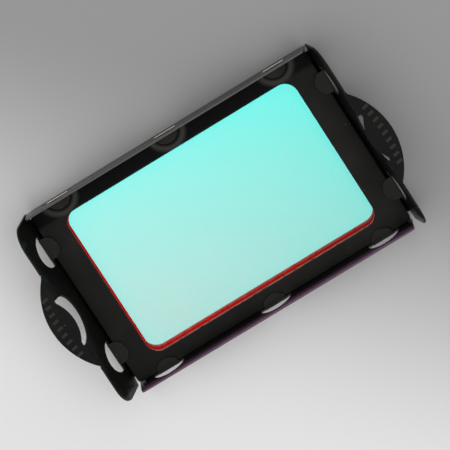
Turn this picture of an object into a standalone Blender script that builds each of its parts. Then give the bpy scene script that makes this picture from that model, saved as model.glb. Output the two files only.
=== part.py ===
"""Drop-in filter for a camera with a 36 x 24 mm sensor.

A folded tray of thin black sheet carries a square-cornered filter glass, a gasket and a
mask plate. Ten half-round tabs, punched from the tray's walls, are folded in over the mask.
The two end walls rise as springy flanks. Each ends in a half-round finger wing, and
squeezing the wings towards each other frees the tray from the camera's throat.

The tray lies on its floor at Z = 0 with its open side up, X along its length.
"""
import math

import bmesh
import bpy
from mathutils import Matrix, Vector

MM = 0.001

# Driving dimensions, in millimetres
SHEET = 0.30                  # thickness of the folded sheet
SEAM = 0.03                   # air left between pieces that touch
APERTURE = (37.6, 24.0)       # opening of the mask plate
APERTURE_CORNER = 2.0
MASK = (45.2, 28.9, 0.54)     # length, width, thickness
MASK_CORNER = 0.5
GASKET = (43.6, 27.8, 0.14)
GASKET_CORNER = 0.5
GASKET_OPENING = (38.8, 24.6)
GLASS = (43.8, 28.0, 1.00)
GLASS_CORNER = 0.4
FLOOR_OPENING = (39.2, 25.4)
FLOOR_OPENING_CORNER = 2.6

SIDE_BASE_Y = 14.72           # outer face of a long side at the floor
SIDE_RIM_Y = 15.20            # outer face of a long side at its rim
SIDE_RIM_Z = 5.02
SIDE_LENGTH = 45.1
END_SPLAY = 0.2424            # outward run of an end wall for each millimetre of rise
END_MASK_X = 23.20            # inner face of an end wall level with the top of the mask
END_WIDTH = 29.8
FLANK_CORNER = 3.0
FLANK_DROP = 0.3              # the rim beside a wing lies this far below its top
FOLD_RADIUS = 0.35
CORNER_RELIEF = 0.9           # how far each fold stops short of a corner of the floor
WING_RISE = 6.6               # top of the wings above the top of the mask
WING_LENGTH = 15.5
WING_RELIEF = 0.15            # slit between the end of a wing's fold and the rim beside it
WING_REACH = 3.08
TONGUE_LENGTH = 7.7
TONGUE_REACH = 0.8
CRESCENT_DEPTH = 4.0          # the hole below the tongue, measured down the flank

TAB_LENGTH = 3.4              # along the wall
SIDE_TAB_REACH = 1.45         # in from the wall, over the mask
END_TAB_REACH = 1.85
TAB_HOLE_LENGTH = 5.0
SIDE_TAB_HOLE_DEPTH = 2.1
END_TAB_HOLE_DEPTH = 3.4
SIDE_TAB_X = (-17.8, 0.0, 17.8)
END_HOLE_Y = (-9.07, 9.07)
END_TAB_OFFSET = 0.12         # the end tabs sit this far off their holes' middles

# Levels worked out from the stack of pieces
GLASS_Z = SHEET + SEAM
GASKET_Z = GLASS_Z + GLASS[2] + SEAM
MASK_Z = GASKET_Z + GASKET[2] + SEAM
MASK_TOP = MASK_Z + MASK[2]
TAB_Z = MASK_TOP + SEAM
WING_TOP = MASK_TOP + WING_RISE
FLANK_FOOT = MASK_TOP + 0.02  # where the sprung part of an end wall begins
FLANK_GAP = 0.05
CUTTER_DEPTH = 4 * SHEET
WELD_DISTANCE = 0.001
HINGE_MARK = 2.0              # drawn size of a flank's hinge

SIDE_LEAN = math.atan2(SIDE_RIM_Y - SIDE_BASE_Y, SIDE_RIM_Z)
END_LEAN = math.atan(END_SPLAY)


def clear_scene():
    for item in list(bpy.data.objects):
        bpy.data.objects.remove(item, do_unlink=True)


def make_collection(name):
    group = bpy.data.collections.new(name)
    bpy.context.scene.collection.children.link(group)
    return group


def make_material(name, colour, roughness, metallic=0.0, transmission=0.0):
    material = bpy.data.materials.new(name)
    material.use_nodes = True
    shader = material.node_tree.nodes["Principled BSDF"]
    shader.inputs["Base Color"].default_value = (*colour, 1.0)
    shader.inputs["Roughness"].default_value = roughness
    shader.inputs["Metallic"].default_value = metallic
    shader.inputs["Transmission Weight"].default_value = transmission
    return material


def link_object(name, data, group, material=None):
    item = bpy.data.objects.new(name, data)
    group.objects.link(item)
    if material:
        data.materials.append(material)
    return item


# --- outlines, as lists of (x, y) in millimetres -------------------------------------

def arc(centre, radius, start, stop, steps=8):
    """Points on a circle from one angle to another, in degrees."""
    points = []
    for step in range(steps + 1):
        angle = math.radians(start + (stop - start) * step / steps)
        points.append((centre[0] + radius * math.cos(angle),
                       centre[1] + radius * math.sin(angle)))
    return points


def rounded_rectangle(length, width, corner, steps=6):
    half_x = length / 2 - corner
    half_y = width / 2 - corner
    points = []
    for sign_x, sign_y, start in ((1, 1, 0), (-1, 1, 90), (-1, -1, 180), (1, -1, 270)):
        points += arc((sign_x * half_x, sign_y * half_y), corner, start, start + 90, steps)
    return points


def bow(start_x, stop_x, base_y, rise, steps=12):
    """Points of a shallow arc from (start_x, base_y) to (stop_x, base_y), ends included."""
    half = abs(stop_x - start_x) / 2
    radius = (half ** 2 + rise ** 2) / (2 * abs(rise))
    middle = (start_x + stop_x) / 2
    side = math.copysign(1.0, rise)
    points = []
    for step in range(steps + 1):
        x = start_x + (stop_x - start_x) * step / steps
        drop = radius - math.sqrt(max(radius ** 2 - (x - middle) ** 2, 0.0))
        points.append((x, base_y + rise - side * drop))
    return points


def dome(centre_x, base_y, length, height, steps=14):
    """Half an ellipse standing on base_y, from right to left, ends included."""
    points = []
    for step in range(steps + 1):
        angle = math.pi * step / steps
        points.append((centre_x + length / 2 * math.cos(angle),
                       base_y + height * math.sin(angle)))
    return points


def plate(name, outlines, thickness, group, material=None):
    """A flat solid from closed outlines, its thickness centred on its own XY plane."""
    curve = bpy.data.curves.new(name, "CURVE")
    curve.dimensions = "2D"
    curve.fill_mode = "BOTH"
    curve.extrude = thickness / 2 * MM
    for outline in outlines:
        spline = curve.splines.new("POLY")
        spline.points.add(len(outline) - 1)
        for point, (x, y) in zip(spline.points, outline):
            point.co = (x * MM, y * MM, 0.0, 1.0)
        spline.use_cyclic_u = True
    return link_object(name, curve, group, material)


def welded_mesh(curve_item, group, material=None):
    """Turns a curve solid into a mesh whose caps are joined to its sides."""
    evaluated = curve_item.evaluated_get(bpy.context.evaluated_depsgraph_get())
    mesh = bpy.data.meshes.new_from_object(evaluated)
    shape = bmesh.new()
    shape.from_mesh(mesh)
    bmesh.ops.remove_doubles(shape, verts=shape.verts, dist=WELD_DISTANCE * MM)
    bmesh.ops.recalc_face_normals(shape, faces=shape.faces)
    shape.to_mesh(mesh)
    shape.free()
    name = curve_item.name
    bpy.data.objects.remove(curve_item, do_unlink=True)
    return link_object(name, mesh, group, material)


def place(item, matrix):
    item.matrix_world = matrix
    bpy.context.view_layer.update()


def stand_on_wall(x, y, z, heading, lean):
    """A frame on a leaning wall: its X runs along the wall, its Y up the slope.

    heading turns the wall about Z, 0 for the wall that faces -Y.
    """
    turn = Matrix.Rotation(heading, 4, "Z")
    tilt = Matrix.Rotation(math.pi / 2 + lean, 4, "X")
    return Matrix.Translation(Vector((x, y, z)) * MM) @ turn @ tilt


# --- the folded tray -----------------------------------------------------------------

def side_middle_y(z):
    """Distance from the centre to the mid-thickness of a long side at height z."""
    return SIDE_BASE_Y + z * math.tan(SIDE_LEAN) - SHEET / 2 / math.cos(SIDE_LEAN)


def end_middle_x(z):
    """Distance from the centre to the mid-thickness of an end wall at height z."""
    return END_MASK_X + (z - MASK_TOP) * END_SPLAY + SHEET / 2 / math.cos(END_LEAN)


def tray_surface():
    """The tray's mid-thickness surface: a floor with four walls folded up from it.

    Each fold stops short of the floor's corners, and its wall widens above the fold.
    """
    floor_z = SHEET / 2
    fold_y = side_middle_y(floor_z)
    fold_x = end_middle_x(floor_z)
    side_fold = fold_x - CORNER_RELIEF
    end_fold = fold_y - CORNER_RELIEF
    shape = bmesh.new()

    def vertex(x, y, z):
        return shape.verts.new((x * MM, y * MM, z * MM))

    def side_point(x, z, sign):
        return vertex(sign * -x, sign * side_middle_y(z), z)

    def end_point(y, z, sign):
        return vertex(sign * end_middle_x(z), sign * y, z)

    floor = []
    for sign in (-1, 1):
        walls = ((side_point, side_fold, SIDE_LENGTH / 2, SIDE_RIM_Z, sign),
                 (end_point, end_fold, END_WIDTH / 2, FLANK_FOOT, -sign))
        for point, half_fold, half_rim, rim_z, wall_sign in walls:
            start = point(-half_fold, floor_z, wall_sign)
            stop = point(half_fold, floor_z, wall_sign)
            edge = [point(half_rim, CORNER_RELIEF, wall_sign), point(half_rim, rim_z, wall_sign),
                    point(-half_rim, rim_z, wall_sign), point(-half_rim, CORNER_RELIEF, wall_sign)]
            shape.faces.new([start, stop] + edge)
            floor += [start, stop]
    shape.faces.new(floor[::-1])
    bmesh.ops.recalc_face_normals(shape, faces=shape.faces)
    return shape


def add_cut(item, cutter, cutters):
    cutter.hide_render = True
    cutter.display_type = "WIRE"
    cut = item.modifiers.new("cut " + cutter.name, "BOOLEAN")
    cut.operation = "DIFFERENCE"
    cut.solver = "EXACT"
    cut.object = cutter


def tab_sites():
    """Every retaining tab: its name, the wall's heading and the tab's place along it."""
    sites = []
    for number, x in enumerate(SIDE_TAB_X, 1):
        sites.append((f"front_retaining_tab_{number}", 0.0, x, True))
        sites.append((f"rear_retaining_tab_{number}", math.pi, x, True))
    for number, y in enumerate(END_HOLE_Y, 1):
        sites.append((f"left_retaining_tab_{number}", -math.pi / 2, y + END_TAB_OFFSET, False))
        sites.append((f"right_retaining_tab_{number}", math.pi / 2, y - END_TAB_OFFSET, False))
    return sites


def build_tray(parts, cutters, material):
    mesh = bpy.data.meshes.new("holder_tray")
    shape = tray_surface()
    shape.to_mesh(mesh)
    shape.free()
    tray = link_object("holder_tray", mesh, parts, material)

    folds = tray.modifiers.new("rounded folds", "BEVEL")
    folds.width = FOLD_RADIUS * MM
    folds.segments = 3
    folds.limit_method = "ANGLE"
    sheet = tray.modifiers.new("sheet", "SOLIDIFY")
    sheet.thickness = SHEET * MM
    sheet.offset = 0.0
    sheet.use_even_offset = True

    outline = rounded_rectangle(*FLOOR_OPENING, FLOOR_OPENING_CORNER)
    opening = welded_mesh(plate("floor opening", [outline], CUTTER_DEPTH, cutters), cutters)
    add_cut(tray, opening, cutters)

    for name, heading, along, is_side in tab_sites():
        if not is_side:
            continue
        hole = dome(0.0, 0.0, TAB_HOLE_LENGTH, SIDE_TAB_HOLE_DEPTH)
        cutter = welded_mesh(plate("hole of " + name, [hole], CUTTER_DEPTH, cutters), cutters)
        sign = 1 if heading else -1
        middle = side_middle_y(MASK_TOP)
        place(cutter, stand_on_wall(along, sign * middle, MASK_TOP, heading, SIDE_LEAN))
        add_cut(tray, cutter, cutters)
    return tray


def build_tabs(parts, material):
    """Half-round tabs that lie on the mask, their straight roots over the cut wall."""
    for name, heading, along, is_side in tab_sites():
        reach = SIDE_TAB_REACH if is_side else END_TAB_REACH
        middle = side_middle_y(TAB_Z) if is_side else end_middle_x(TAB_Z)
        root = middle + SHEET / 2
        outline = [(TAB_LENGTH / 2, 0.0)]
        outline += dome(0.0, SHEET, TAB_LENGTH, reach)
        outline += [(-TAB_LENGTH / 2, 0.0)]
        tab = welded_mesh(plate(name, [outline], SHEET, parts), parts, material)
        if is_side:
            sign = 1 if heading else -1
            spot = Vector((along, sign * root, 0.0))
        else:
            sign = 1 if heading > 0 else -1
            spot = Vector((sign * root, along, 0.0))
        spot.z = TAB_Z + SHEET / 2
        place(tab, Matrix.Translation(spot * MM) @ Matrix.Rotation(heading, 4, "Z"))


# --- the sprung ends -----------------------------------------------------------------

def flank_outline():
    """An end wall above its foot, laid flat: X along the wall, Y up the slope.

    The foot has a dome cut out over each tab. The rim has rounded corners, and its middle
    carries the wing, with a deep bow cut out below the wing's tongue.
    """
    rim = (WING_TOP - FLANK_DROP - FLANK_FOOT) / math.cos(END_LEAN)
    under_wing = (WING_TOP - SHEET - SEAM - FLANK_FOOT) / math.cos(END_LEAN) - SHEET * END_SPLAY
    half = END_WIDTH / 2
    outline = [(-half, FLANK_GAP)]
    for along in END_HOLE_Y:
        outline += dome(along, FLANK_GAP, TAB_HOLE_LENGTH, END_TAB_HOLE_DEPTH)[::-1]
    outline += [(half, FLANK_GAP)]
    outline += arc((half - FLANK_CORNER, rim - FLANK_CORNER), FLANK_CORNER, 0, 90)
    outline += [(WING_LENGTH / 2 + WING_RELIEF, rim), (WING_LENGTH / 2 + WING_RELIEF, under_wing)]
    outline += bow(TONGUE_LENGTH / 2, -TONGUE_LENGTH / 2, under_wing, -CRESCENT_DEPTH)
    outline += [(-WING_LENGTH / 2 - WING_RELIEF, under_wing), (-WING_LENGTH / 2 - WING_RELIEF, rim)]
    outline += arc((FLANK_CORNER - half, rim - FLANK_CORNER), FLANK_CORNER, 90, 180)
    return outline


def wing_outline():
    """A finger wing from above: X along the end wall, +Y away from the tray."""
    half = WING_LENGTH / 2
    half_tongue = TONGUE_LENGTH / 2
    outline = bow(half, -half, 0.0, WING_REACH, 20)
    outline += bow(-half_tongue, half_tongue, 0.0, -TONGUE_REACH, 10)
    return outline


def build_ends(parts, material):
    for side, sign in (("left", -1), ("right", 1)):
        hinge = bpy.data.objects.new(side + "_flank_hinge", None)
        hinge.empty_display_size = HINGE_MARK * MM
        parts.objects.link(hinge)
        hinge_spot = Vector((sign * end_middle_x(FLANK_FOOT), 0.0, FLANK_FOOT)) * MM
        place(hinge, Matrix.Translation(hinge_spot))

        heading = sign * math.pi / 2
        flank = plate(side + "_spring_flank", [flank_outline()], SHEET, parts)
        flank = welded_mesh(flank, parts, material)
        flank.parent = hinge
        place(flank, stand_on_wall(*(hinge_spot / MM), heading, END_LEAN))

        wing = plate(side + "_finger_wing", [wing_outline()], SHEET, parts)
        wing = welded_mesh(wing, parts, material)
        wing.parent = hinge
        root_x = end_middle_x(WING_TOP) - SHEET / 2
        spot = Vector((sign * root_x, 0.0, WING_TOP - SHEET / 2)) * MM
        place(wing, Matrix.Translation(spot) @ Matrix.Rotation(-heading, 4, "Z"))


# --- what the tray holds -------------------------------------------------------------

def build_stack(parts, glass_material, gasket_material, mask_material):
    outline = rounded_rectangle(GLASS[0], GLASS[1], GLASS_CORNER, 3)
    glass = plate("filter_glass", [outline], GLASS[2], parts, glass_material)
    glass.location.z = (GLASS_Z + GLASS[2] / 2) * MM

    outlines = [rounded_rectangle(GASKET[0], GASKET[1], GASKET_CORNER, 3),
                rounded_rectangle(*GASKET_OPENING, APERTURE_CORNER)]
    gasket = plate("glass_gasket", outlines, GASKET[2], parts, gasket_material)
    gasket.location.z = (GASKET_Z + GASKET[2] / 2) * MM

    outlines = [rounded_rectangle(MASK[0], MASK[1], MASK_CORNER, 3),
                rounded_rectangle(*APERTURE, APERTURE_CORNER, 8)]
    mask = plate("mask_plate", outlines, MASK[2], parts, mask_material)
    mask.location.z = (MASK_Z + MASK[2] / 2) * MM


def main():
    clear_scene()
    parts = make_collection("drop_in_filter")
    cutters = make_collection("cutters")
    black_sheet = make_material("black_sheet", (0.012, 0.012, 0.013), 0.42, 0.6)
    black_mask = make_material("black_mask", (0.016, 0.016, 0.016), 0.5, 0.5)
    dark_gasket = make_material("dark_gasket", (0.01, 0.01, 0.01), 0.8)
    coated_glass = make_material("coated_glass", (0.25, 0.9, 0.82), 0.05, 0.0, 0.6)
    build_tray(parts, cutters, black_sheet)
    build_stack(parts, coated_glass, dark_gasket, black_mask)
    build_tabs(parts, black_sheet)
    build_ends(parts, black_sheet)
    bpy.context.view_layer.update()


main()
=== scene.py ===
import math

import bmesh
import bpy
from mathutils import Matrix, Vector


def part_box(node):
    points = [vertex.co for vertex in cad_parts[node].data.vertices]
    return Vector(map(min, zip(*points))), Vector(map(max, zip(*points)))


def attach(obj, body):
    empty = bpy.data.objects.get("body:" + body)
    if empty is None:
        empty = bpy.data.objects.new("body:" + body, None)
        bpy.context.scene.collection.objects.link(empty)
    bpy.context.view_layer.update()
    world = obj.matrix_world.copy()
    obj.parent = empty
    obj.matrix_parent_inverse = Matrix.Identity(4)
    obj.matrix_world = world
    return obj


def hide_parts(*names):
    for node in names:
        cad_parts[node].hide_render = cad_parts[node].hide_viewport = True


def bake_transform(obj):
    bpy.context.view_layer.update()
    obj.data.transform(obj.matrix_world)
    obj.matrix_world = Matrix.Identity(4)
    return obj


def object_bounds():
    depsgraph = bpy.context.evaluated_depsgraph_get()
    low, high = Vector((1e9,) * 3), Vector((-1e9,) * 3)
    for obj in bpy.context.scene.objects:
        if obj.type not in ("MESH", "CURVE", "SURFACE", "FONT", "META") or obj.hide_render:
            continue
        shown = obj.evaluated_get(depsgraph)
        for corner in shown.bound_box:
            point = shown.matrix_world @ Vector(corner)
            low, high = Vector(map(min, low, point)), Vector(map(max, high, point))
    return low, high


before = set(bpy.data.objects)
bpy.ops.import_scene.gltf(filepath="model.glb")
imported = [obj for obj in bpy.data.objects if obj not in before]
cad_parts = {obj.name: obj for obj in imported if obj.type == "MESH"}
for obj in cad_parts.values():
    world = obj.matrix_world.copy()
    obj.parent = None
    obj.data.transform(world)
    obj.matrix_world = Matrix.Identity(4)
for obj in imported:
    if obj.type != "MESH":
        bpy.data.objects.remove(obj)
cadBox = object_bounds()
mm = 0.001  # every size below is in millimetres until it is multiplied by this


def boxInMm(node):
    low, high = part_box(node)
    return low / mm, high / mm


_, trayHigh = boxInMm("holder_tray")
flankLow, flankHigh = boxInMm("right_spring_flank")
wingLow, wingHigh = boxInMm("right_finger_wing")
maskLow, maskHigh = boxInMm("mask_plate")
glassLow, glassHigh = boxInMm("filter_glass")
tabLow, tabHigh = boxInMm("rear_retaining_tab_2")
endTabLow, _ = boxInMm("right_retaining_tab_2")

sheet = wingHigh.z - wingLow.z  # every folded piece is cut from the same sheet
floorMiddle = sheet / 2
tabMiddle = (tabLow.z + tabHigh.z) / 2


# Nodes and colours

def fromHex(code):
    channels = [int(code[place:place + 2], 16) / 255 for place in (1, 3, 5)]
    linear = [c / 12.92 if c <= 0.04045 else ((c + 0.055) / 1.055) ** 2.4 for c in channels]
    return (*linear, 1.0)


def addNode(tree, kind, inputs=None, **settings):
    node = tree.nodes.new("ShaderNode" + kind)
    for name, value in settings.items():
        setattr(node, name, value)
    for socket, value in (inputs or {}).items():
        if isinstance(value, bpy.types.NodeSocket):
            tree.links.new(value, node.inputs[socket])
        else:
            node.inputs[socket].default_value = value
    return node


def startMaterial(name):
    material = bpy.data.materials.new(name)
    material.use_nodes = True
    material.node_tree.nodes.clear()
    return material, material.node_tree


# The Mix node keeps its colour sockets at these places
mixFactor, mixFirst, mixSecond, mixResult = 0, 6, 7, 2


def grainScale(size):
    return 1 / (size * mm)  # a texture's scale for features of this many millimetres


def addSpecks(tree, place, under, tone, spacing, size):
    # one round speck in each cell of a loose grid, laid over the colour beneath
    cells = addNode(tree, "TexVoronoi", {"Vector": place, "Scale": grainScale(spacing)})
    speck = addNode(tree, "Math", {0: cells.outputs["Distance"], 1: size / spacing}, operation="LESS_THAN")
    return addNode(tree, "Mix", {mixFactor: speck.outputs[0], mixFirst: under,
                                 mixSecond: fromHex(tone)}, data_type="RGBA")


# Satin black oxide on spring steel, stamped and folded: nearly black, with a pressed grain that is
# drawn coarser than life so that it shows, faint olive blotches where the bath was uneven, and
# stray specks of lint
oxideFinish = {
    "black": "#0f1010", "handled": "#181916", "rubbed": "#222221", "roughness": (0.22, 0.34),
    "grain": 0.09, "grainStrength": 0.35, "grainDepth": 0.012,
    "blotch": "#191811", "blotchSize": 3.2, "blotchFrom": (0.45, 0.7),
    "lint": "#a8a294", "lintSpacing": 2.6, "lintSize": 0.045,
    # the purple is a painted reflection of the filter's light on the tray's front wall
    "purpleReflection": "#573a50", "purpleReflectionHeight": (3.3, 4.4), "purpleReflectionFacing": -0.3,
}


def oxideSheet(name, tone, specular, purpleReflected=False):
    finish = oxideFinish
    material, tree = startMaterial(name)
    place = addNode(tree, "TexCoord").outputs["Object"]
    blotch = addNode(tree, "TexNoise", {"Vector": place, "Scale": grainScale(finish["blotchSize"]),
                                        "Detail": 4.0, "Roughness": 0.6})
    few, many = finish["blotchFrom"]
    blotchShare = addNode(tree, "MapRange", {"Value": blotch.outputs[0], "From Min": few, "From Max": many})
    colour = addNode(tree, "Mix", {mixFactor: blotchShare.outputs[0], mixFirst: fromHex(finish[tone]),
                                   mixSecond: fromHex(finish["blotch"])}, data_type="RGBA")
    if purpleReflected:
        # painted purple reflection of the filter's light on one long rim and below it, on the inner face
        height = addNode(tree, "SeparateXYZ", {0: place})
        low, high = finish["purpleReflectionHeight"]
        climb = addNode(tree, "MapRange", {"Value": height.outputs[2], "From Min": low * mm,
                                           "From Max": high * mm}, interpolation_type="SMOOTHSTEP")
        facing = addNode(tree, "SeparateXYZ", {0: addNode(tree, "NewGeometry").outputs["Normal"]})
        front = addNode(tree, "Math", {0: height.outputs[1], 1: 0.0}, operation="LESS_THAN")
        inward = addNode(tree, "Math", {0: facing.outputs[1], 1: finish["purpleReflectionFacing"]},
                         operation="GREATER_THAN")
        sided = addNode(tree, "Math", {0: front.outputs[0], 1: inward.outputs[0]}, operation="MULTIPLY")
        share = addNode(tree, "Math", {0: climb.outputs[0], 1: sided.outputs[0]}, operation="MULTIPLY")
        colour = addNode(tree, "Mix", {mixFactor: share.outputs[0], mixFirst: colour.outputs[mixResult],
                                       mixSecond: fromHex(finish["purpleReflection"])}, data_type="RGBA")
    colour = addSpecks(tree, place, colour.outputs[mixResult], finish["lint"], finish["lintSpacing"],
                       finish["lintSize"])
    grain = addNode(tree, "TexNoise", {"Vector": place, "Scale": grainScale(finish["grain"]), "Detail": 3.0})
    shine = addNode(tree, "MapRange", {"Value": grain.outputs[0], "To Min": finish["roughness"][0],
                                       "To Max": finish["roughness"][1]})
    bump = addNode(tree, "Bump", {"Height": grain.outputs[0], "Strength": finish["grainStrength"],
                                  "Distance": finish["grainDepth"] * mm})
    shader = addNode(tree, "BsdfPrincipled", {
        "Base Color": colour.outputs[mixResult], "Roughness": shine.outputs[0],
        "Specular IOR Level": specular, "Normal": bump.outputs[0]})
    addNode(tree, "OutputMaterial", {"Surface": shader.outputs[0]})
    return material


# Cut and creased steel: the oxide is rubbed thin on every sheared edge, so a warm grey line of
# bare metal shows through in patches. The tray's rim line is part bare metal, part painted highlight;
# the tab edges and the wing ribs carry a painted highlight; the mask's cut edges carry a painted red
# reflection of the glass, pink along the front of the aperture
edgeFinish = {
    "black": "#131313", "rubbed": "#3d3b38", "ribHighlight": "#2b2a28", "rim": "#565553", "bright": "#efe8d8",
    "redReflection": "#4a0c08", "pinkReflection": "#a5625a", "patch": 0.55, "patchFrom": (0.66, 0.72),
    "patchSpread": 0.4, "blackMetallic": 0.1, "roughness": 0.4, "specular": 0.15,
}


def wornEdge(name, bareShare, tone, metallic=0.7):
    finish = edgeFinish
    material, tree = startMaterial(name)
    place = addNode(tree, "TexCoord").outputs["Object"]
    patches = addNode(tree, "TexNoise", {"Vector": place, "Scale": grainScale(finish["patch"]),
                                         "Detail": 5.0, "Roughness": 0.75})
    near, far = [level - bareShare * finish["patchSpread"] for level in finish["patchFrom"]]
    bare = addNode(tree, "MapRange", {"Value": patches.outputs[0], "From Min": near, "From Max": far})
    colour = addNode(tree, "Mix", {mixFactor: bare.outputs[0], mixFirst: fromHex(finish["black"]),
                                   mixSecond: fromHex(finish[tone])}, data_type="RGBA")
    metal = addNode(tree, "MapRange", {"Value": bare.outputs[0], "To Min": finish["blackMetallic"],
                                       "To Max": metallic})
    shader = addNode(tree, "BsdfPrincipled", {
        "Base Color": colour.outputs[mixResult], "Metallic": metal.outputs[0],
        "Roughness": finish["roughness"], "Specular IOR Level": finish["specular"]})
    addNode(tree, "OutputMaterial", {"Surface": shader.outputs[0]})
    return material


# Matte black paint on the mask plate, sprayed: flat and slightly warm, an orange peel drawn
# coarser than life so that it shows, a painted shade of the rear wall that makes the rear bar blacker,
# and on it a painted pool of light, a paler ring around each tab where light through the wall's holes falls
maskFinish = {
    "paint": "#1a1a19", "roughness": 0.50, "specular": 0.06,
    "grain": 0.12, "grainStrength": 0.3, "grainDepth": 0.01,
    "rubbed": "#232220", "wear": 6.0, "wearFrom": (0.42, 0.68),
    "rearWallShade": "#050505", "rearWallShadeFrom": (11.9, 12.5), "holeLightPool": "#373634", "holeLightPoolRadius": (1.9, 2.5, 3.3),
    "dust": "#96938b", "dustSpacing": 3.4, "dustSize": 0.055,
}


def sprayedPaint(name):
    finish = maskFinish
    material, tree = startMaterial(name)
    place = addNode(tree, "TexCoord").outputs["Object"]
    wear = addNode(tree, "TexNoise", {"Vector": place, "Scale": grainScale(finish["wear"]), "Detail": 5.0})
    few, many = finish["wearFrom"]
    rubbed = addNode(tree, "MapRange", {"Value": wear.outputs[0], "From Min": few, "From Max": many})
    colour = addNode(tree, "Mix", {mixFactor: rubbed.outputs[0], mixFirst: fromHex(finish["paint"]),
                                   mixSecond: fromHex(finish["rubbed"])}, data_type="RGBA")
    axes = addNode(tree, "SeparateXYZ", {0: place})
    # painted shade: the rear bar darker where the rear wall shades it
    near, far = [spot * mm for spot in finish["rearWallShadeFrom"]]
    rearWallShade = addNode(tree, "MapRange", {"Value": axes.outputs[1], "From Min": near, "From Max": far},
                    interpolation_type="SMOOTHSTEP")
    colour = addNode(tree, "Mix", {mixFactor: rearWallShade.outputs[0], mixFirst: colour.outputs[mixResult],
                                   mixSecond: fromHex(finish["rearWallShade"])}, data_type="RGBA")
    halfPitch = sideTabPitch / 2 * mm  # folded back and forth, so that each tab gets its own painted pool of light
    # painted light: a paler ring around each rear tab, where light through the wall's hole falls on the
    # plate
    along = addNode(tree, "Math", {0: axes.outputs[0], 1: halfPitch}, operation="PINGPONG")
    fromTab = addNode(tree, "CombineXYZ", {0: along.outputs[0], 1: axes.outputs[1]})
    reach = addNode(tree, "VectorMath", {0: fromTab.outputs[0], 1: (0.0, tabHigh.y * mm, 0.0)},
                    operation="DISTANCE")
    inner, middle, outer = [radius * mm for radius in finish["holeLightPoolRadius"]]
    rise = addNode(tree, "MapRange", {"Value": reach.outputs["Value"], "From Min": inner,
                                      "From Max": middle}, interpolation_type="SMOOTHSTEP")
    fall = addNode(tree, "MapRange", {"Value": reach.outputs["Value"], "From Min": outer,
                                      "From Max": middle}, interpolation_type="SMOOTHSTEP")
    holeLightPool = addNode(tree, "Math", {0: rise.outputs[0], 1: fall.outputs[0]}, operation="MULTIPLY")
    colour = addNode(tree, "Mix", {mixFactor: holeLightPool.outputs[0], mixFirst: colour.outputs[mixResult],
                                   mixSecond: fromHex(finish["holeLightPool"])}, data_type="RGBA")
    colour = addSpecks(tree, place, colour.outputs[mixResult], finish["dust"], finish["dustSpacing"],
                       finish["dustSize"])
    grain = addNode(tree, "TexNoise", {"Vector": place, "Scale": grainScale(finish["grain"]), "Detail": 2.0})
    bump = addNode(tree, "Bump", {"Height": grain.outputs[0], "Strength": finish["grainStrength"],
                                  "Distance": finish["grainDepth"] * mm})
    shader = addNode(tree, "BsdfPrincipled", {
        "Base Color": colour.outputs[mixResult], "Roughness": finish["roughness"],
        "Specular IOR Level": finish["specular"], "Normal": bump.outputs[0]})
    addNode(tree, "OutputMaterial", {"Surface": shader.outputs[0]})
    return material


# Die-cut cell rubber of the gasket: dull, charcoal, with open pores
rubberFinish = {"pit": "#0d0d0e", "skin": "#1d1d1e", "pore": 0.16, "poreStrength": 0.5,
                "poreDepth": 0.02, "roughness": 0.85, "specular": 0.3}


def cellRubber(name):
    finish = rubberFinish
    material, tree = startMaterial(name)
    place = addNode(tree, "TexCoord").outputs["Object"]
    pores = addNode(tree, "TexVoronoi", {"Vector": place, "Scale": grainScale(finish["pore"])})
    colour = addNode(tree, "Mix", {mixFactor: pores.outputs["Distance"], mixFirst: fromHex(finish["pit"]),
                                   mixSecond: fromHex(finish["skin"])}, data_type="RGBA")
    bump = addNode(tree, "Bump", {"Height": pores.outputs["Distance"], "Strength": finish["poreStrength"],
                                  "Distance": finish["poreDepth"] * mm})
    shader = addNode(tree, "BsdfPrincipled", {
        "Base Color": colour.outputs[mixResult], "Roughness": finish["roughness"],
        "Specular IOR Level": finish["specular"], "Normal": bump.outputs[0]})
    addNode(tree, "OutputMaterial", {"Surface": shader.outputs[0]})
    return material


# Dichroic layers, vacuum coated: a mirror for green and blue, a window for red. A red diffuse layer
# under them stands for light shining through from behind, a painted light that is brighter at the rim
# of the aperture and towards one end. The mirror turns paler towards that end and grades in strength
# across the other way, a painted gradient of the light it reflects. A slope is a heading in degrees and
# the places where it starts and ends
coatingFinish = {
    "mirror": "#19f0e8", "paintedPaleReflection": "#19d4cf", "polish": 0.02,
    "backlitRed": "#730a07", "brightBacklitRed": "#a5100d", "window": "#b8120d",
    "rim": 0.16, "rimBacklight": 1.75, "shadedReflectionStrip": 0.21,
    "dust": "#3f8f86", "dustSpacing": 2.2, "dustSize": 0.04,
    "reflectionGradeSlope": (44.7, -16.0, 18.0),
    "reflectionStrengthSlope": (147.7, -20.0, 20.0), "reflectionStrengths": (0.87, 1.13),
}


def slopeAcross(tree, place, heading, near, far):
    # a slope from 0 to 1 across the part, along a heading in degrees
    turn = math.radians(heading)
    climb = addNode(tree, "VectorMath", {0: place, 1: (math.cos(turn), math.sin(turn), 0.0)},
                    operation="DOT_PRODUCT")
    return addNode(tree, "MapRange", {"Value": climb.outputs["Value"], "From Min": near * mm,
                                      "From Max": far * mm})


def apertureRim(tree, place, inset):
    # 1 outside a line that runs inset millimetres within the mask's rounded aperture
    length, width, corner = mask["aperture"]
    core = ((length / 2 - corner) * mm, (width / 2 - corner) * mm, 1.0)
    folded = addNode(tree, "VectorMath", {0: place}, operation="ABSOLUTE")
    past = addNode(tree, "VectorMath", {0: folded.outputs[0], 1: core}, operation="SUBTRACT")
    past = addNode(tree, "VectorMath", {0: past.outputs[0], 1: (0.0, 0.0, 0.0)}, operation="MAXIMUM")
    far = addNode(tree, "VectorMath", {0: past.outputs[0]}, operation="LENGTH")
    return addNode(tree, "Math", {0: far.outputs["Value"], 1: (corner - inset) * mm},
                   operation="GREATER_THAN")


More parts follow.
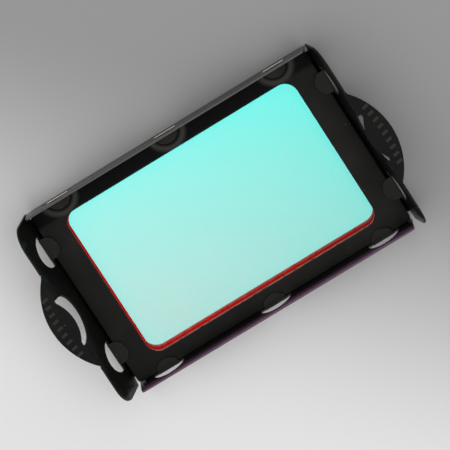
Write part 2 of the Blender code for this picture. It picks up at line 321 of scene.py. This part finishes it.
def dichroicCoating(name):
    finish = coatingFinish
    material, tree = startMaterial(name)
    place = addNode(tree, "TexCoord").outputs["Object"]
    # painted reflection: the mirror's tint turns paler towards one end
    reflectionGrade = slopeAcross(tree, place, *finish["reflectionGradeSlope"])
    tint = addNode(tree, "Mix", {mixFactor: reflectionGrade.outputs[0], mixFirst: fromHex(finish["paintedPaleReflection"]),
                                 mixSecond: fromHex(finish["mirror"])}, data_type="RGBA")
    # painted reflection: the mirror's strength grades across the part
    side = slopeAcross(tree, place, *finish["reflectionStrengthSlope"])
    weak, strong = finish["reflectionStrengths"]
    strength = addNode(tree, "MapRange", {"Value": side.outputs[0], "To Min": weak, "To Max": strong})
    # painted shade: the mirror's reflection is left out of a strip at one end of the aperture, where only
    # the red painted light shows
    nudged = addNode(tree, "VectorMath", {0: place, 1: (-finish["shadedReflectionStrip"] * mm, 0.0, 0.0)})
    bare = apertureRim(tree, nudged.outputs[0], 0.0)
    covered = addNode(tree, "Math", {0: 1.0, 1: bare.outputs[0]}, operation="SUBTRACT")
    strength = addNode(tree, "Math", {0: strength.outputs[0], 1: covered.outputs[0]}, operation="MULTIPLY")
    tint = addNode(tree, "VectorMath", {0: tint.outputs[mixResult], "Scale": strength.outputs[0]},
                   operation="SCALE")
    tint = addSpecks(tree, place, tint.outputs[0], finish["dust"], finish["dustSpacing"],
                     finish["dustSize"])
    mirror = addNode(tree, "BsdfPrincipled", {
        "Base Color": tint.outputs[mixResult], "Metallic": 1.0, "Roughness": finish["polish"]})
    # painted light: a red diffuse layer stands for light shining through from behind, brighter at one end
    # and at the aperture's rim
    paintedBacklight = addNode(tree, "Mix", {mixFactor: reflectionGrade.outputs[0], mixFirst: fromHex(finish["brightBacklitRed"]),
                                 mixSecond: fromHex(finish["backlitRed"])}, data_type="RGBA")
    atRim = apertureRim(tree, place, finish["rim"])
    boost = addNode(tree, "MapRange", {"Value": atRim.outputs[0], "To Min": 1.0,
                                       "To Max": finish["rimBacklight"]})
    paintedBacklight = addNode(tree, "VectorMath", {0: paintedBacklight.outputs[mixResult], "Scale": boost.outputs[0]},
                   operation="SCALE")
    backlitRed = addNode(tree, "BsdfDiffuse", {"Color": paintedBacklight.outputs[0]})
    window = addNode(tree, "BsdfTransparent", {"Color": fromHex(finish["window"])})
    red = addNode(tree, "AddShader", {0: backlitRed.outputs[0], 1: window.outputs[0]})
    both = addNode(tree, "AddShader", {0: mirror.outputs[0], 1: red.outputs[0]})
    addNode(tree, "OutputMaterial", {"Surface": both.outputs[0]})
    return material


# Polished optical glass with an anti-reflection layer: clear head on, a soft sheen at a slant. The
# layer weakens the sheen, so its index is well below bare glass
glassFinish = {"index": 1.22, "clear": "#fefffe", "sheen": "#f4fffb", "polish": 0.02}


def clearGlass(name):
    finish = glassFinish
    material, tree = startMaterial(name)
    sheen = addNode(tree, "Fresnel", {"IOR": finish["index"]})
    # light on its way out passes freely, so that the mirror below is seen at every slant
    inside = addNode(tree, "NewGeometry").outputs["Backfacing"]
    outside = addNode(tree, "Math", {0: 1.0, 1: inside}, operation="SUBTRACT")
    sheen = addNode(tree, "Math", {0: sheen.outputs[0], 1: outside.outputs[0]}, operation="MULTIPLY")
    window = addNode(tree, "BsdfTransparent", {"Color": fromHex(finish["clear"])})
    mirror = addNode(tree, "BsdfPrincipled", {
        "Base Color": fromHex(finish["sheen"]), "Metallic": 1.0, "Roughness": finish["polish"]})
    both = addNode(tree, "MixShader", {0: sheen.outputs[0], 1: window.outputs[0], 2: mirror.outputs[0]})
    addNode(tree, "OutputMaterial", {"Surface": both.outputs[0]})
    return material


# Sheet metal work: outlines, blanks and folds, all in millimetres
press = {
    "weld": 0.012, "scoreLine": 1e-4, "foldCreases": 7, "tabCreases": 6, "flexCreases": 6,
    "cutAngle": 1.0, "flatFrom": 0.98, "softBelow": math.radians(28), "edgeSegments": 2,
}


def arc(x, y, radius, start, stop, steps=8):
    angles = [math.radians(start + (stop - start) * step / steps) for step in range(steps + 1)]
    return [(x + radius * math.cos(angle), y + radius * math.sin(angle)) for angle in angles]


def roundedRectangle(length, width, corner, steps=8):
    outline = []
    for signX, signY, start in ((1, 1, 0), (-1, 1, 90), (-1, -1, 180), (1, -1, 270)):
        outline += arc(signX * (length / 2 - corner), signY * (width / 2 - corner), corner,
                       start, start + 90, steps)
    return outline


def bow(base, half, rise, steps=24):
    # a shallow arc that leaves the line x = base at y = -half and comes back to it at y = half
    radius = (half ** 2 + rise ** 2) / (2 * abs(rise))
    side = math.copysign(1, rise)
    levels = [-half + 2 * half * step / steps for step in range(steps + 1)]
    drops = [radius - math.sqrt(max(radius ** 2 - y ** 2, 0)) for y in levels]
    return [(base + rise - side * drop, y) for y, drop in zip(levels, drops)]


def dome(length, depth, steps=20):
    # half an oval on the line y = 0, from its right end to its left
    angles = [math.pi * step / steps for step in range(steps + 1)]
    return [(length / 2 * math.cos(angle), depth * math.sin(angle)) for angle in angles]


def cutBlank(outlines):
    shape = bmesh.new()
    for outline in outlines:
        corners = [shape.verts.new((x, y, 0)) for x, y in outline]
        for first, second in zip(corners, corners[1:] + corners[:1]):
            shape.edges.new((first, second))
    bmesh.ops.triangle_fill(shape, use_beauty=True, edges=shape.edges[:], normal=(0, 0, 1))
    return shape


def scoreBlank(shape, along, start, stop, creases):
    # creases across the blank, so that it can bend between start and stop
    for step in range(creases + 1):
        spot = Vector(along) * (start + (stop - start) * step / creases)
        everything = shape.verts[:] + shape.edges[:] + shape.faces[:]
        bmesh.ops.bisect_plane(shape, geom=everything, dist=press["scoreLine"], plane_co=spot,
                               plane_no=along)


def thickenBlank(shape, thickness, edge):
    # the blank gets its thickness and eased edges: material 0 on its flat faces, 1 on its edges
    bmesh.ops.remove_doubles(shape, verts=shape.verts[:], dist=press["weld"])
    bmesh.ops.translate(shape, verts=shape.verts[:], vec=(0, 0, -thickness / 2))
    grown = bmesh.ops.extrude_face_region(shape, geom=shape.faces[:], use_keep_orig=True)
    lifted = [item for item in grown["geom"] if isinstance(item, bmesh.types.BMVert)]
    bmesh.ops.translate(shape, verts=lifted, vec=(0, 0, thickness))
    bmesh.ops.recalc_face_normals(shape, faces=shape.faces[:])
    rims = [e for e in shape.edges if len(e.link_faces) == 2 and e.calc_face_angle() > press["cutAngle"]]
    bmesh.ops.bevel(shape, geom=rims, offset=edge, segments=press["edgeSegments"], profile=0.5,
                    affect="EDGES", clamp_overlap=False, material=-1)
    bmesh.ops.recalc_face_normals(shape, faces=shape.faces[:])
    for face in shape.faces:
        face.material_index = 0 if abs(face.normal.z) > press["flatFrom"] else 1


def foldSheet(shape, along, start, radius, turn, grip=None):
    # folds what lies past start about a line across the sheet: up for a positive turn, else
    # down. grip may keep a point still, or stiff so that it turns without bending
    along = Vector(along)
    lift = math.copysign(1, turn)
    fullTurn = abs(turn)
    for vertex in shape.verts:
        past = vertex.co.dot(along) - start
        held = grip(vertex.co) if grip else ""
        if held == "still" or (past <= 0 and held != "stiff"):
            continue
        bent = radius * fullTurn if held == "stiff" else min(past, radius * fullTurn)
        turned = bent / radius
        rest = past - bent
        inner = radius - vertex.co.z * lift
        out = inner * math.sin(turned) + rest * math.cos(turned)
        up = radius - inner * math.cos(turned) + rest * math.sin(turned)
        vertex.co += along * (out - past)
        vertex.co.z = lift * up


def finishPiece(name, shape, materials, replaced):
    bmesh.ops.scale(shape, verts=shape.verts[:], vec=(mm, mm, mm))
    mesh = bpy.data.meshes.new(name)
    shape.to_mesh(mesh)
    shape.free()
    for material in materials:
        mesh.materials.append(material)
    mesh.shade_smooth()
    mesh.set_sharp_from_angle(angle=press["softBelow"])
    piece = bpy.data.objects.new(name, mesh)
    bpy.context.scene.collection.objects.link(piece)
    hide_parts(*replaced)
    return piece


# A wall folded up from the tray's floor: where its fold starts, how far it turns, and how high a
# level on it lies when the blank is still flat
def wallLayout(farthest, top, lean, radius):
    middleTop = top - floorMiddle * math.sin(lean)
    corner = farthest - floorMiddle * math.cos(lean) - (middleTop - floorMiddle) * math.tan(lean)
    turn = math.pi / 2 - lean
    setback = radius * math.tan(turn / 2)
    return {"corner": corner, "lean": lean, "radius": radius, "turn": turn, "start": corner - setback,
            "base": corner - 2 * setback + radius * turn, "rim": middleTop}


def flatLevel(wall, height):
    return wall["base"] + (height - floorMiddle) / math.cos(wall["lean"])


holder = {
    "foldRadius": 0.5, "sideLean": math.radians(5.46), "endLean": math.radians(13.626),
    "edge": 0.035, "relief": 0.9, "notch": 0.1, "reliefTop": (0.8, 1.15),
    "opening": (39.2, 25.4, 2.6), "rearLength": 45.8, "frontLength": 45.1, "rimCorner": 0.45,
    "sideHole": (5.0, 2.1), "endHole": (5.0, 3.4), "tabRadius": 0.165,
}
sideWall = wallLayout(trayHigh.y, trayHigh.z, holder["sideLean"], holder["foldRadius"])
endWall = wallLayout(flankHigh.x, flankHigh.z, holder["endLean"], holder["foldRadius"])
sideTabX = [(low.x + high.x) / 2 for low, high in map(boxInMm, (
    "rear_retaining_tab_1", "rear_retaining_tab_2", "rear_retaining_tab_3"))]
endTabY = [(low.y + high.y) / 2 for low, high in map(boxInMm, (
    "right_retaining_tab_1", "right_retaining_tab_2"))]
sideTabPitch = sideTabX[2] - sideTabX[1]


def holeFoot(wall):
    # the level at which a tab's fold leaves its wall
    turn = math.pi / 2 + wall["lean"]
    return tabMiddle - holder["tabRadius"] * math.tan(turn / 2) * math.cos(wall["lean"])


def trayHalf(length):
    # the blank's outline round one long wall, from the right end of the floor to the left
    foldHalf = endWall["corner"] - holder["relief"]
    lowRelief, highRelief = [flatLevel(sideWall, z) for z in holder["reliefTop"]]
    rim = flatLevel(sideWall, sideWall["rim"])
    corner = holder["rimCorner"]
    quarter = [(endWall["start"], sideWall["corner"] - holder["relief"]),
               (foldHalf, sideWall["start"] - holder["notch"]), (foldHalf, lowRelief),
               (length / 2, highRelief)]
    quarter += arc(length / 2 - corner, rim - corner, corner, 0, 90, steps=5)
    return quarter + [(-x, y) for x, y in reversed(quarter)]


def buildTray(materials):
    outline = trayHalf(holder["rearLength"])
    outline += [(-x, -y) for x, y in trayHalf(holder["frontLength"])]
    holes = [roundedRectangle(*holder["opening"])]
    foot = flatLevel(sideWall, holeFoot(sideWall))
    for x in sideTabX:
        hole = [(x + along, foot + up) for along, up in dome(*holder["sideHole"])]
        holes += [hole, [(-along, -up) for along, up in hole]]
    shape = cutBlank([outline] + holes)
    for across in ((0, 1, 0), (0, -1, 0)):
        start = sideWall["start"]
        scoreBlank(shape, across, start, start + sideWall["radius"] * sideWall["turn"],
                   press["foldCreases"])
    thickenBlank(shape, sheet, holder["edge"])
    for face in shape.faces:  # the painted purple reflection runs over the front wall's cut edges too
        if face.calc_center_median().y < -sideWall["start"]:
            face.material_index = 0
    for across in ((0, 1, 0), (0, -1, 0)):
        foldSheet(shape, across, sideWall["start"], sideWall["radius"], sideWall["turn"])
    bmesh.ops.translate(shape, verts=shape.verts[:], vec=(0, 0, floorMiddle))
    tray = finishPiece("folded_tray", shape, materials, ["holder_tray"])
    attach(tray, "root")


flex = {"start": 2.2, "stop": 3.9}  # the levels between which a sprung end wall bends
wing = {
    "half": 7.75, "reach": 3.08, "slit": 0.15, "slitDepth": 0.2, "foldRadius": 0.35,
    "tongueHalf": 3.85, "tongueReach": 0.95, "tongueShift": 0.25, "shear": 0.5, "crescent": 4.0,
    "tongueHold": 1.3, "cornerRadius": 3.0, "ribs": 9, "ribPitch": 1.15, "ribSize": (1.0, 0.5, 0.3),
    "ribRound": 0.11, "ribRoundSegments": 3, "ribLean": math.radians(12), "ribLine": 1.64,
    "ribSag": 0.02,
}


def addRibs(shape):
    # pressed grip ribs on the wing, already at the wing's own level
    length, width, height = wing["ribSize"]
    for number in range(wing["ribs"]):
        spot = (number - (wing["ribs"] - 1) / 2) * wing["ribPitch"]
        line = flankHigh.x + wing["ribLine"] - wing["ribSag"] * spot ** 2
        made = bmesh.ops.create_cube(shape, size=1)["verts"]
        bmesh.ops.scale(shape, verts=made, vec=(length, width, height))
        edges = list({edge for vertex in made for edge in vertex.link_edges})
        bevelled = bmesh.ops.bevel(shape, geom=edges, offset=wing["ribRound"], affect="EDGES",
                                   segments=wing["ribRoundSegments"], profile=0.5, material=-1)
        rounded = list({vertex for face in bevelled["faces"] for vertex in face.verts})
        turn = Matrix.Rotation(wing["ribLean"], 3, "Z")
        bmesh.ops.rotate(shape, verts=rounded, cent=(0, 0, 0), matrix=turn)
        bmesh.ops.translate(shape, verts=rounded, vec=(line, spot, wingHigh.z))
        # the ribs take material 2, lighter as a painted highlight
        for face in {face for vertex in rounded for face in vertex.link_faces}:
            face.material_index = 2


def buildEnd(side, materials):
    rimTop = flatLevel(endWall, endWall["rim"])
    level = (wingLow.z + wingHigh.z) / 2
    cornerX = endWall["corner"] + (level - floorMiddle) * math.tan(endWall["lean"])
    setback = wing["foldRadius"] * math.tan(endWall["turn"] / 2)
    foldStart = flatLevel(endWall, level) - setback
    foldStop = foldStart + wing["foldRadius"] * endWall["turn"]
    slide = foldStop - (cornerX + setback)  # from a wing's true place to its place on the blank
    wingBase = wingHigh.x - wing["reach"] + slide
    tongueBase = wingLow.x + wing["tongueReach"] + wing["tongueShift"] + slide
    half, slit, tongueHalf = wing["half"], wing["slit"], wing["tongueHalf"]
    endHalf = sideWall["corner"] - holder["relief"]
    lowRelief, highRelief = [flatLevel(endWall, z) for z in holder["reliefTop"]]
    corner = wing["cornerRadius"]
    upper = [(foldStart - wing["slitDepth"], half), (foldStart - wing["slitDepth"], half + slit),
             (rimTop, half + slit)]
    upper += arc(rimTop - corner, flankHigh.y - corner, corner, 0, 90, steps=14)
    upper += [(highRelief, flankHigh.y), (lowRelief, endHalf), (endWall["start"], endHalf)]
    outline = bow(wingBase, half, wing["reach"], steps=40) + upper
    outline += [(x, -y) for x, y in reversed(upper)]
    foot = flatLevel(endWall, holeFoot(endWall))
    holeY = (endTabY[1] - endTabY[0]) / 2
    holes = [[(foot + up, y + along) for along, up in dome(*holder["endHole"])]
             for y in (-holeY, holeY)]
    crescent = [(foldStop, shift) for shift in (tongueHalf - wing["shear"], tongueHalf)]
    crescent += bow(foldStart, tongueHalf, -wing["crescent"], steps=28)[::-1]
    crescent += [(foldStop, shift) for shift in (-tongueHalf, wing["shear"] - tongueHalf)]
    crescent += bow(tongueBase, tongueHalf - wing["shear"], -wing["tongueReach"], steps=20)
    shape = cutBlank([outline, crescent] + holes)
    along = (1, 0, 0)
    wallStop = endWall["start"] + endWall["radius"] * endWall["turn"]
    scoreBlank(shape, along, endWall["start"], wallStop, press["foldCreases"])
    scoreBlank(shape, along, foot, flatLevel(endWall, flex["stop"]), press["flexCreases"])
    scoreBlank(shape, along, foldStart, foldStop, press["foldCreases"])
    thickenBlank(shape, sheet, holder["edge"])

    def wingGrip(spot):
        # beyond the slits the wall stands up, and the tongue stays flat as the wing folds out
        if abs(spot.y) > half + slit / 2:
            return "still"
        onTongue = abs(spot.y) < tongueHalf - wing["shear"] / 2
        tongueFoot = tongueBase - wing["tongueHold"] * wing["tongueReach"]
        return "stiff" if onTongue and spot.x > tongueFoot else ""

    foldSheet(shape, along, foldStart, wing["foldRadius"], -endWall["turn"], wingGrip)
    foldSheet(shape, along, endWall["start"], endWall["radius"], endWall["turn"])
    bmesh.ops.translate(shape, verts=shape.verts[:], vec=(0, 0, floorMiddle))
    addRibs(shape)
    if side == "left":
        halfTurn = Matrix.Rotation(math.pi, 3, "Z")
        bmesh.ops.rotate(shape, verts=shape.verts[:], cent=(0, 0, 0), matrix=halfTurn)
    end = finishPiece(side + "_end_wall", shape, materials,
                      [side + "_spring_flank", side + "_finger_wing"])
    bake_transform(end)


tab = {"edge": 0.05, "nose": 1.45, "crack": 0.12, "crackFacing": 0.5}


def buildTab(name, wall, reach, turnAbout, spot, cracked, materials):
    # a half-round tab, its root folded down into the wall that it was punched from
    radius = holder["tabRadius"]
    turn = math.pi / 2 + wall["lean"]
    setback = radius * math.tan(turn / 2)
    half = (tabHigh.x - tabLow.x) / 2
    foldEnd = radius * turn - setback
    nose = [(x, -reach + tab["nose"] - y) for x, y in dome(2 * half, tab["nose"], steps=24)]
    shape = cutBlank([[(-half, foldEnd), (half, foldEnd)] + nose])
    scoreBlank(shape, (0, 1, 0), -setback, foldEnd, press["tabCreases"])
    thickenBlank(shape, sheet, tab["edge"])
    for face in shape.faces:
        onTop = face.normal.z > tab["crackFacing"]
        if cracked and onTop and face.calc_center_median().y > tab["crack"] - setback:
            face.material_index = 2
    foldSheet(shape, (0, 1, 0), -setback, radius, -turn)
    bmesh.ops.rotate(shape, verts=shape.verts[:], cent=(0, 0, 0), matrix=Matrix.Rotation(turnAbout, 3, "Z"))
    bmesh.ops.translate(shape, verts=shape.verts[:], vec=(*spot, tabMiddle))
    piece = finishPiece(name.replace("retaining", "folded"), shape, materials, [name])
    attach(piece, "root")


def buildTabs(faces, rubbed, edges, cracks):
    sideOut = sideWall["corner"] + (tabMiddle - floorMiddle) * math.tan(sideWall["lean"])
    endOut = endWall["corner"] + (tabMiddle - floorMiddle) * math.tan(endWall["lean"])
    plain = [faces, edges]
    for number, x in enumerate(sideTabX, 1):
        reach = sideOut - tabLow.y
        buildTab(f"rear_retaining_tab_{number}", sideWall, reach, 0, (x, sideOut), True,
                 [rubbed, edges, cracks])
        buildTab(f"front_retaining_tab_{number}", sideWall, reach, math.pi, (x, -sideOut), False, plain)
    for number, y in enumerate(endTabY, 1):
        reach = endOut - endTabLow.x
        buildTab(f"right_retaining_tab_{number}", endWall, reach, -math.pi / 2, (endOut, y), False, plain)
        buildTab(f"left_retaining_tab_{3 - number}", endWall, reach, math.pi / 2, (-endOut, -y), False,
                 plain)


mask = {"aperture": (37.6, 24.0, 2.0), "corner": 0.5, "edge": 0.08, "slant": 0.3}


def buildMask(materials):
    outer = roundedRectangle(maskHigh.x - maskLow.x, maskHigh.y - maskLow.y, mask["corner"])
    shape = cutBlank([outer, roundedRectangle(*mask["aperture"], steps=14)])
    thickenBlank(shape, maskHigh.z - maskLow.z, mask["edge"])
    length, width, _ = mask["aperture"]
    slant = mask["slant"]
    # the aperture's cut faces keep material 1, a painted red reflection of the glass
    for face in [face for face in shape.faces if face.material_index]:
        centre, facing = face.calc_center_median(), face.normal
        inside = abs(centre.x) < length / 2 + mask["edge"] and abs(centre.y) < width / 2 + mask["edge"]
        if inside and facing.y > slant:
            face.material_index = 2  # painted pink reflection along the front of the aperture
        elif not inside or (facing.z > slant and facing.x < slant):
            face.material_index = 0
    bmesh.ops.translate(shape, verts=shape.verts[:], vec=(0, 0, (maskLow.z + maskHigh.z) / 2))
    plate = finishPiece("mask_frame", shape, materials, ["mask_plate"])
    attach(plate, "root")


glass = {"corner": 0.4, "chamfer": 0.12, "mirrorDepth": 0.17, "coating": 0.02, "coatingEdge": 0.004}


def buildGlass(clear, coating):
    length, width = glassHigh.x - glassLow.x, glassHigh.y - glassLow.y
    shape = cutBlank([roundedRectangle(length, width, glass["corner"])])
    thickenBlank(shape, glassHigh.z - glassLow.z, glass["chamfer"])
    bmesh.ops.translate(shape, verts=shape.verts[:], vec=(0, 0, (glassLow.z + glassHigh.z) / 2))
    body = finishPiece("filter_body", shape, [clear, clear], ["filter_glass"])
    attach(body, "root")
    inset = 2 * glass["chamfer"]
    shape = cutBlank([roundedRectangle(length - inset, width - inset, glass["corner"])])
    thickenBlank(shape, glass["coating"], glass["coatingEdge"])
    level = glassHigh.z - glass["mirrorDepth"]  # between two cemented panes
    bmesh.ops.translate(shape, verts=shape.verts[:], vec=(0, 0, level - glass["coating"] / 2))
    layer = finishPiece("dichroic_layer", shape, [coating, coating], ["filter_glass"])
    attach(layer, "root")


satinSheet = oxideSheet("satin black oxide steel", "black", 0.08)
handledSheet = oxideSheet("handled black oxide steel", "handled", 0.12)
rubbedSheet = oxideSheet("rubbed black oxide steel", "rubbed", 0.08)
purpleReflectedSheet = oxideSheet("black oxide steel with painted purple reflection", "black", 0.4, purpleReflected=True)
# the rim's light grey line: bare metal in part, the rest a painted highlight
wornHighlitRim = wornEdge("sheared oxide rim, worn with painted highlight", 0.8, "rim", 0.5)
sheared = wornEdge("sheared oxide edge", 0.15, "rubbed")
# painted highlight: the wing's ribs in a lighter tone
highlitRib = wornEdge("oxide rib with painted highlight", 0.9, "ribHighlight", 0.1)
# painted highlight along the tabs' cut edges, in patches
highlitTabEdge = wornEdge("tab edge with painted highlight", 0.5, "rubbed")
creased = wornEdge("cracked oxide fold", 0.75, "bright")
# painted red reflection of the glass on the mask's aperture edges
redReflection = wornEdge("cut edge with painted red reflection", 0.95, "redReflection", 0.1)
# painted pink reflection of the glass along the front of the aperture
pinkReflectedEdge = wornEdge("paint edge with painted pink reflection", 0.6, "pinkReflection", 0.3)
buildTray([purpleReflectedSheet, wornHighlitRim])
print("tray folded")
for side in ("left", "right"):
    buildEnd(side, [satinSheet, sheared, highlitRib])
print("end walls folded")
buildTabs(handledSheet, rubbedSheet, highlitTabEdge, creased)
print("tabs folded")
buildMask([sprayedPaint("sprayed matte black"), redReflection, pinkReflectedEdge])
buildGlass(clearGlass("polished optical glass"), dichroicCoating("vacuum dichroic coating"))
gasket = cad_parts["glass_gasket"]
gasket.data.materials.clear()
gasket.data.materials.append(cellRubber("die-cut cell rubber"))
print("mask and glass laid in")


# Studio: a paper sheet under the filter, grading darker towards one side as painted shade, a bright sky of
# diffusers around it
studio = {
    "paper": ("#e7e7e7", "#999999"), "slope": (40.0, -32.0, 20.0), "size": 1600, "gap": 0.01,
    "roughness": 0.9, "specular": 0.1, "sky": "#fefdfd", "strength": (0.55, 1.12), "skyFrom": 0.9,
}


def buildFloor():
    shape = bmesh.new()
    bmesh.ops.create_grid(shape, x_segments=2, y_segments=2, size=studio["size"] * mm / 2)
    mesh = bpy.data.meshes.new("paper_floor")
    shape.to_mesh(mesh)
    shape.free()
    floor = bpy.data.objects.new("paper_floor", mesh)
    bpy.context.scene.collection.objects.link(floor)
    floor.location.z = cadBox[0].z - studio["gap"] * mm
    material, tree = startMaterial("backdrop paper with painted shade")
    place = addNode(tree, "TexCoord").outputs["Object"]
    # painted shade: the paper turns from pale to grey along the slope
    share = slopeAcross(tree, place, *studio["slope"])
    share.interpolation_type = "SMOOTHSTEP"
    pale, grey = studio["paper"]
    tone = addNode(tree, "Mix", {mixFactor: share.outputs[0], mixFirst: fromHex(pale),
                                 mixSecond: fromHex(grey)}, data_type="RGBA")
    shader = addNode(tree, "BsdfPrincipled", {
        "Base Color": tone.outputs[mixResult], "Roughness": studio["roughness"],
        "Specular IOR Level": studio["specular"]})
    addNode(tree, "OutputMaterial", {"Surface": shader.outputs[0]})
    mesh.materials.append(material)


def lightStudio():
    world = bpy.data.worlds.new("diffuser sky")
    world.use_nodes = True
    world.node_tree.nodes.clear()
    tree = world.node_tree
    horizon, zenith = studio["strength"]
    direction = addNode(tree, "SeparateXYZ", {0: addNode(tree, "TexCoord").outputs["Generated"]})
    power = addNode(tree, "MapRange", {
        "Value": direction.outputs[2], "From Max": studio["skyFrom"], "To Min": horizon,
        "To Max": zenith}, interpolation_type="SMOOTHSTEP")
    sky = addNode(tree, "Background", {"Color": fromHex(studio["sky"]), "Strength": power.outputs[0]})
    addNode(tree, "OutputWorld", {"Surface": sky.outputs[0]})
    bpy.context.scene.world = world
    bpy.context.scene.view_settings.view_transform = "Standard"


view = {"azimuth": 62.07, "elevation": 74.17, "roll": 175.82, "distance": 774.4, "lens": 440.8,
        "sensor": 36, "aim": (-0.04, -1.16), "clip": (10, 10000)}


def placeCamera():
    azimuth, elevation = math.radians(view["azimuth"]), math.radians(view["elevation"])
    back = Vector((math.cos(azimuth) * math.cos(elevation), math.sin(azimuth) * math.cos(elevation),
                   math.sin(elevation)))
    aim = Vector((*view["aim"], maskHigh.z)) * mm
    upright = back.to_track_quat("Z", "Y").to_matrix().to_4x4()
    roll = Matrix.Rotation(math.radians(view["roll"]), 4, "Z")
    camera = bpy.data.objects.new("camera", bpy.data.cameras.new("camera"))
    bpy.context.scene.collection.objects.link(camera)
    camera.matrix_world = Matrix.Translation(aim + back * view["distance"] * mm) @ upright @ roll
    camera.data.lens = view["lens"]
    camera.data.sensor_width = view["sensor"]
    camera.data.clip_start, camera.data.clip_end = [reach * mm for reach in view["clip"]]
    bpy.context.scene.camera = camera


buildFloor()
lightStudio()
placeCamera()
print("studio lit")
